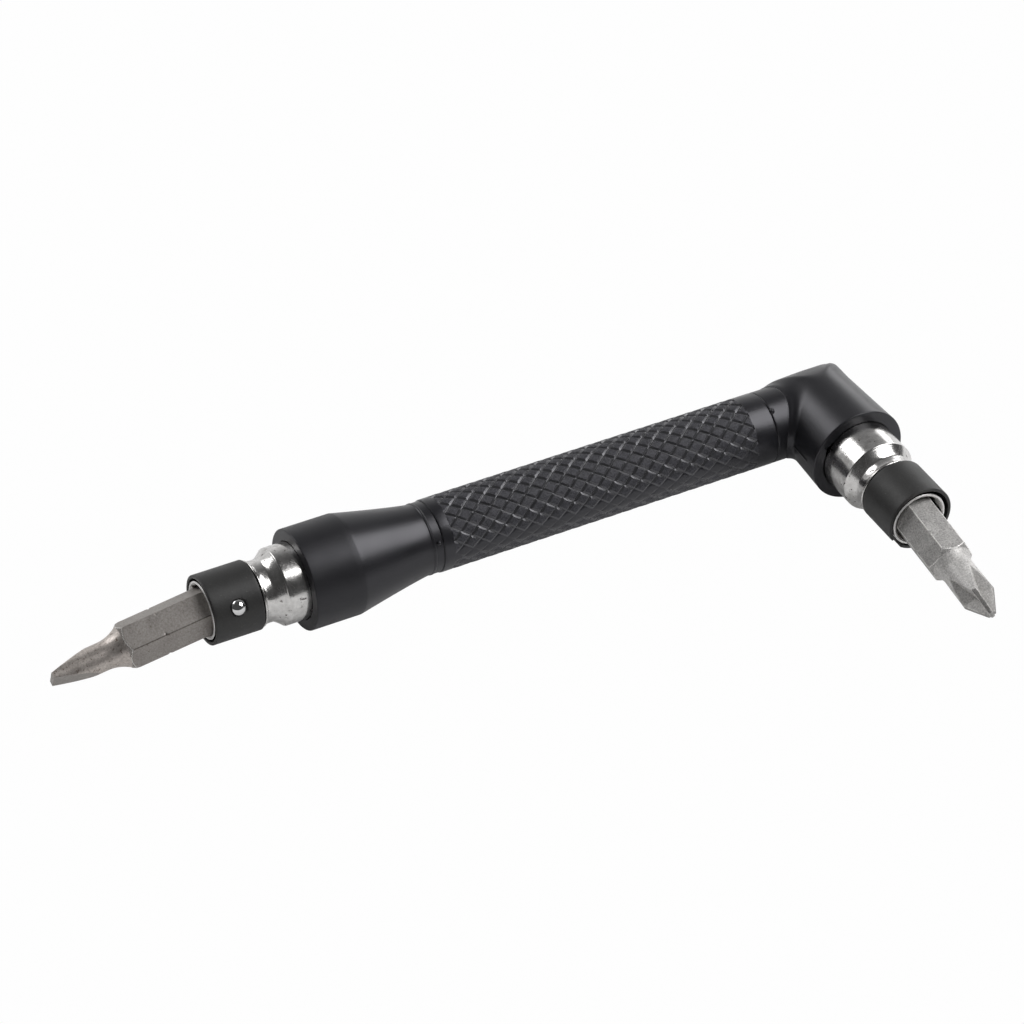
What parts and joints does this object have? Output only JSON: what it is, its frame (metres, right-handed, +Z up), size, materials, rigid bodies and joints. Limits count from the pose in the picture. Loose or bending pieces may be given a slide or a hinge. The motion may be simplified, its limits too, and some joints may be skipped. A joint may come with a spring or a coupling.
{
  "type": "offset screwdriver",
  "caption": "Offset screwdriver: knurled handle with a ball-detent hexagonal bit socket in line and another at right angles, each holding an insert bit.",
  "frame": {"origin": "middle of the footprint at the level the tool lies on", "axes": "+X along the handle from the in-line bit towards the elbow, -Y out of the side head, +Z up"},
  "size_m": [0.132, 0.0582, 0.0152],
  "materials": {
    "moulded_black": "satin moulded",
    "grip_black": "satin moulded diamonds",
    "core_steel": "drawn",
    "socket_plating": "bright plated",
    "ring_black": "matt black",
    "ball_steel": "polished",
    "bit_steel": "grey, grit-blasted"
  },
  "bodies": {
    "handle": {"front_collar": "moulded_black", "grip_sleeve": "grip_black", "elbow_head": "moulded_black", "core_rod": "core_steel", "front_socket": "socket_plating", "side_socket": "socket_plating"},
    "front_detent": {"front_spring_ring": "ring_black", "front_ball": "ball_steel"},
    "side_detent": {"side_spring_ring": "ring_black", "side_ball": "ball_steel"},
    "front_bit": {"slotted_bit": "bit_steel"},
    "side_bit": {"cross_bit": "bit_steel"}
  },
  "joints": [
    {"name": "front_detent_lift", "type": "slide", "parent": "handle", "child": "front_detent", "axis": [0, -0.8788, 0.4772], "range_m": [0, 0.0003], "stiffness_N_per_m": 4000},
    {"name": "side_detent_lift", "type": "slide", "parent": "handle", "child": "side_detent", "axis": [0.9997, 0, -0.0262], "range_m": [0, 0.0001], "stiffness_N_per_m": 4000},
    {"name": "front_bit_pull", "type": "slide", "parent": "handle", "child": "front_bit", "axis": [-0.9895, 0, -0.1442], "range_m": [0, 0.006]},
    {"name": "side_bit_pull", "type": "slide", "parent": "handle", "child": "side_bit", "axis": [-0.0434, -0.9965, -0.0709], "range_m": [0, 0.009]}
  ]
}
